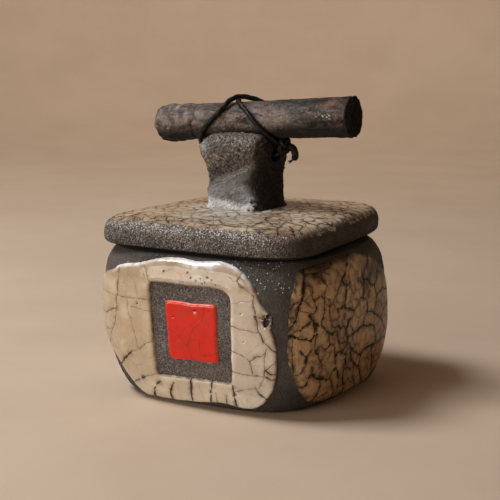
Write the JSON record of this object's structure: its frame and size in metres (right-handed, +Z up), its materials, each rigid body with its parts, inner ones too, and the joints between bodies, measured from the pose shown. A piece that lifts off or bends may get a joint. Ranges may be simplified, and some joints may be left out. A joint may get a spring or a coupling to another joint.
{
  "type": "lidded ceramic box",
  "caption": "Square hand-built raku box with bulging walls, raised crackle glaze fields, a red square on the front, and a lift-off lid with a charred stick handle lashed on by a cord.",
  "frame": {"origin": "centre of the base, on the surface the box stands on", "axes": "+Z up, -Y out of the front face that carries the red square, +X along the stick handle to the right"},
  "size_m": [0.1121, 0.1108, 0.1297],
  "materials": {
    "smoked_clay": "bare grogged clay smoked dark grey, matt and gritty",
    "crackle_glaze": "thick glossy ivory raku glaze with a net of dark crackle lines",
    "red_glaze": "glossy red glaze",
    "lid_glaze": "thin tan glaze with fine dark crackle lines",
    "charred_wood": "charred bark, dull with a slight sheen",
    "waxed_cord": "black waxed cord"
  },
  "bodies": {
    "box": {"box_wall": "smoked_clay", "floor_slab": "smoked_clay", "front_glaze_panel": "crackle_glaze", "red_glaze_square": "red_glaze", "right_glaze_panel": "crackle_glaze", "back_glaze_panel": "crackle_glaze", "left_glaze_panel": "crackle_glaze"},
    "lid": {"lid_slab": "smoked_clay", "lid_top_glaze": "lid_glaze", "lid_locating_flange": "smoked_clay", "handle_neck": "smoked_clay", "handle_stick": "charred_wood", "lashing_cord": "waxed_cord", "cord_knot": "waxed_cord", "cord_tail_a": "waxed_cord", "cord_tail_b": "waxed_cord"}
  },
  "joints": [
    {"name": "lid_lift", "type": "slide", "parent": "box", "child": "lid", "axis": [0, 0, 1], "range_m": [0, 0.08]}
  ]
}
